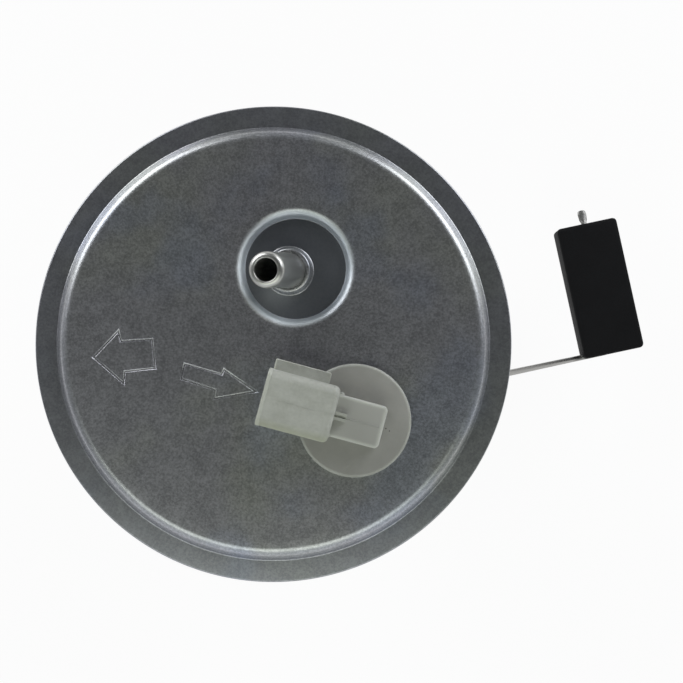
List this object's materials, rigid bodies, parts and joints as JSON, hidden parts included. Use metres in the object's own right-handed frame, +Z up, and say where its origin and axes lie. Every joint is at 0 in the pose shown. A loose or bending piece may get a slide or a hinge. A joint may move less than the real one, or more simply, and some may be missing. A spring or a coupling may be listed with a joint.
{
  "type": "in-tank fuel pump hanger assembly",
  "caption": "Round stepped steel flange with leaning outlet tube and angled connector, carrying a pump, strainer and level sender with a float on a long arm.",
  "frame": {"origin": "centre of the round flange, in the plane of its sealing face under the rim", "axes": "+Z up out of the tank along the flange's axis; the electrical socket opens towards -X"},
  "size_m": [0.1914, 0.1496, 0.2275],
  "materials": {
    "zinc_steel": "zinc plated steel, satin, slightly mottled",
    "tin_steel": "tin plated steel tube, satin",
    "steel": "bare or plated steel, satin",
    "natural_nylon": "natural milky nylon, moulded, slightly translucent",
    "white_acetal": "natural acetal, moulded",
    "black_plastic": "black phenolic and nylon mouldings",
    "black_foam": "closed-cell nitrile float, matt black",
    "black_rubber": "nitrile rubber, matt",
    "brass": "brass, plain",
    "tinned_blade": "tinned brass terminals",
    "copper": "enamelled copper wire and copper segments",
    "carbon": "carbon brush",
    "ferrite": "sintered ferrite",
    "sintered": "oil filled sintered bronze",
    "lamination": "stacked laminations",
    "alumina": "alumina card with printed tracks",
    "mesh": "woven nylon filter cloth"
  },
  "bodies": {
    "hanger": {"flange_plate": "zinc_steel", "outlet_tube": "tin_steel", "tube_collar": "tin_steel", "connector_housing": "natural_nylon", "connector_seal": "black_rubber", "connector_retainer": "steel", "terminal_blades": "tinned_blade", "hanger_bracket": "zinc_steel", "pump_clamp": "steel", "clamp_screws": "steel", "pump_sleeve": "black_rubber", "lower_cushion": "black_rubber", "pump_case": "steel", "pump_outlet_cover": "black_plastic", "pump_terminals": "tinned_blade", "pump_inlet_cover": "black_plastic", "pump_upper_plate": "black_plastic", "field_magnets": "ferrite", "magnet_clips": "steel", "brushes": "carbon", "brush_springs": "steel", "upper_bearing": "sintered", "lower_bearing": "sintered", "check_valve_seat": "brass", "check_valve_spring": "steel", "check_valve_stop": "brass", "relief_spring": "steel", "relief_cap": "brass", "coupling_hose": "black_rubber", "hose_clamps": "steel", "strainer_bag": "mesh", "strainer_collar": "white_acetal", "strainer_retainer": "steel", "sender_housing": "white_acetal", "resistor_card": "alumina", "sender_rivets": "steel", "sender_terminals": "tinned_blade", "pivot_clip": "steel"},
    "float_lever": {"arm_hub": "white_acetal", "wiper_contacts": "brass", "float_arm": "steel", "float": "black_foam"},
    "rotor": {"rotor_shaft": "steel", "armature_core": "lamination", "armature_windings": "copper", "commutator": "copper", "impeller": "black_plastic"},
    "check_valve": {"check_valve_poppet": "black_rubber"},
    "relief_valve": {"relief_ball": "steel"}
  },
  "joints": [
    {"name": "arm_swing", "type": "hinge", "parent": "hanger", "child": "float_lever", "pos_m": [0.02308, -0.01226, -0.062], "axis": [0.454, -0.891, 0], "range_deg": [0, 60]},
    {"name": "rotor_spin", "type": "hinge", "parent": "hanger", "child": "rotor", "pos_m": [0.00393, 0.0121, -0.136], "axis": [0, 0, 1], "continuous": true},
    {"name": "check_valve_lift", "type": "slide", "parent": "hanger", "child": "check_valve", "axis": [0, 0, 1], "range_m": [0, 0.002], "stiffness_N_per_m": 200, "springref_m": -0.004, "deforming": ["check_valve_spring"]},
    {"name": "relief_valve_lift", "type": "slide", "parent": "hanger", "child": "relief_valve", "axis": [0, 0, 1], "range_m": [0, 0.001], "stiffness_N_per_m": 2000, "springref_m": -0.002, "deforming": ["relief_spring"]}
  ]
}
